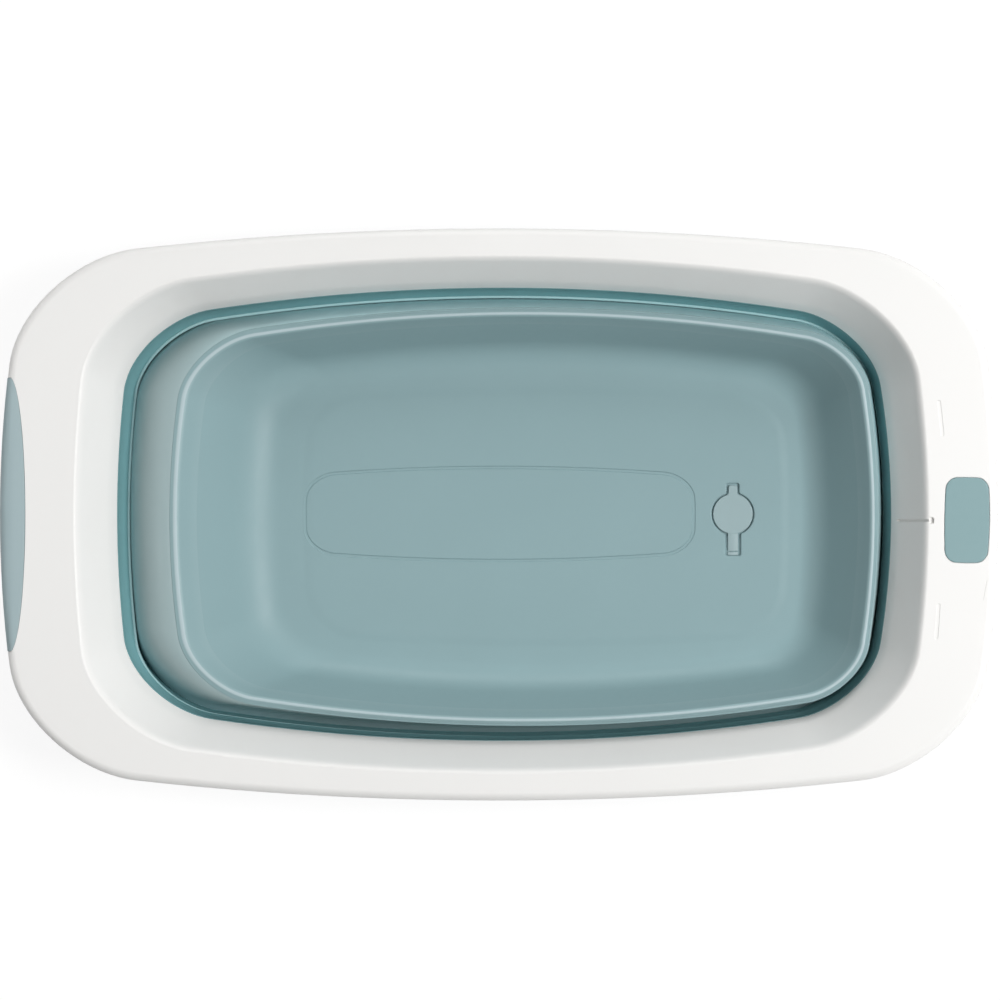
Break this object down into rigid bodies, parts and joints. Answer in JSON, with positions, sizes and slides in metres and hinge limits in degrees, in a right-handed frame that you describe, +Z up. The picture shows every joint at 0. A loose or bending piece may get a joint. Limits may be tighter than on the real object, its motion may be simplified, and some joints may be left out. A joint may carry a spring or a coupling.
{
  "type": "foldable baby bathtub",
  "caption": "Rectangular baby bath with a rigid basin, a soft fold-flat wall, a wide rigid rim with a soft grip, swing-out legs and a strap-held drain plug.",
  "frame": {"origin": "centre of the bounding box's bottom: under the middle of the rim, on the surface that the base pads stand on", "axes": "+Z up, X along the tub's length with +X at the drain end and -X at the backrest and grip, Y across; the rest pose is folded flat"},
  "size_m": [0.821, 0.472, 0.0953],
  "materials": {
    "rim_white": "fine satin moulded plastic",
    "soft_fold": "smooth satin thermoplastic elastomer",
    "basin_blue": "fine matt moulded plastic",
    "grip_blue": "matt soft-touch",
    "plug_blue": "matt soft plastic",
    "leg_white": "satin moulded plastic",
    "shoe_grey": "matt rubber",
    "pin_steel": "plain turned pin"
  },
  "bodies": {
    "basin": {"basin_shell": "basin_blue", "bead_collar": "soft_fold", "fold_membrane": "soft_fold", "plug_anchor": "plug_blue", "base_pad_head_left": "shoe_grey", "base_pad_head_right": "shoe_grey", "base_pad_drain_left": "shoe_grey", "base_pad_drain_right": "shoe_grey"},
    "rim": {"rim_frame": "rim_white", "rim_grip": "grip_blue", "badge_plate": "grip_blue", "fold_band": "soft_fold", "leg_pin_head_left": "pin_steel", "leg_pin_head_right": "pin_steel", "leg_pin_drain_left": "pin_steel", "leg_pin_drain_right": "pin_steel"},
    "plug": {"drain_plug": "plug_blue"},
    "leg_hl": {"leg_head_left": "leg_white", "leg_shoe_head_left": "shoe_grey"},
    "leg_hr": {"leg_head_right": "leg_white", "leg_shoe_head_right": "shoe_grey"},
    "leg_dl": {"leg_drain_left": "leg_white", "leg_shoe_drain_left": "shoe_grey"},
    "leg_dr": {"leg_drain_right": "leg_white", "leg_shoe_drain_right": "shoe_grey"}
  },
  "joints": [
    {"name": "rim_lift", "type": "slide", "parent": "basin", "child": "rim", "axis": [0, 0, 1], "range_m": [0, 0.116], "deforming": ["fold_membrane"]},
    {"name": "plug_open", "type": "hinge", "parent": "basin", "child": "plug", "pos_m": [0.199, -0.031, 0.0069], "axis": [1, 0, 0], "range_deg": [0, 110]},
    {"name": "leg_hl_swing", "type": "hinge", "parent": "rim", "child": "leg_hl", "pos_m": [-0.354, 0.157, 0.038], "axis": [1, 0, 0], "range_deg": [0, 90]},
    {"name": "leg_hr_swing", "type": "hinge", "parent": "rim", "child": "leg_hr", "pos_m": [-0.354, -0.157, 0.038], "axis": [-1, 0, 0], "range_deg": [0, 90]},
    {"name": "leg_dl_swing", "type": "hinge", "parent": "rim", "child": "leg_dl", "pos_m": [0.354, 0.157, 0.038], "axis": [1, 0, 0], "range_deg": [0, 90]},
    {"name": "leg_dr_swing", "type": "hinge", "parent": "rim", "child": "leg_dr", "pos_m": [0.354, -0.157, 0.038], "axis": [-1, 0, 0], "range_deg": [0, 90]}
  ]
}
